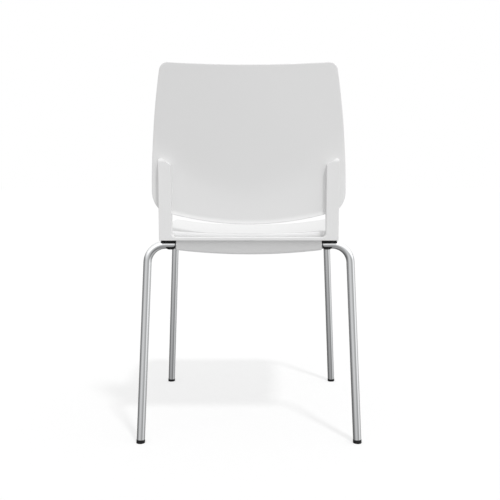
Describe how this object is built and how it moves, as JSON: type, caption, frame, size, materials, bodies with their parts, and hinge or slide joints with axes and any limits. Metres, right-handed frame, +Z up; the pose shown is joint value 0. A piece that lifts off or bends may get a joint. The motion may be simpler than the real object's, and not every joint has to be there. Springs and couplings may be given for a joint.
{
  "type": "stacking chair",
  "caption": "Stacking side chair with a curved moulded back, dished seat, slim uprights and splayed chrome tube legs.",
  "frame": {"origin": "on the floor at the middle of the chair's bounding box", "axes": "+Z up, the sitter faces -Y, +X is the sitter's left"},
  "size_m": [0.495, 0.4871, 0.8184],
  "materials": {
    "white_shell": "fine matt moulded polypropylene",
    "chrome_tube": "bright chrome plate on steel tube",
    "black_plastic": "satin moulded nylon",
    "steel_rail": "zinc-plated steel",
    "screw_steel": "zinc-plated screw",
    "brass_insert": "turned and knurled"
  },
  "bodies": {
    "root": {"back_inserts": "brass_insert", "back_panel": "white_shell", "back_screw_caps": "white_shell", "back_screws": "screw_steel", "back_support": "white_shell", "cover_screws": "screw_steel", "frame_screws": "screw_steel", "front_left_foot": "black_plastic", "front_left_saddle": "black_plastic", "front_leg_frame": "chrome_tube", "front_right_foot": "black_plastic", "front_right_saddle": "black_plastic", "left_side_rail": "steel_rail", "rear_left_foot": "black_plastic", "rear_left_saddle": "black_plastic", "rear_leg_frame": "chrome_tube", "rear_right_foot": "black_plastic", "rear_right_saddle": "black_plastic", "right_side_rail": "steel_rail", "seat_inserts": "brass_insert", "seat_shell": "white_shell", "under_seat_cover": "white_shell"}
  },
  "joints": []
}
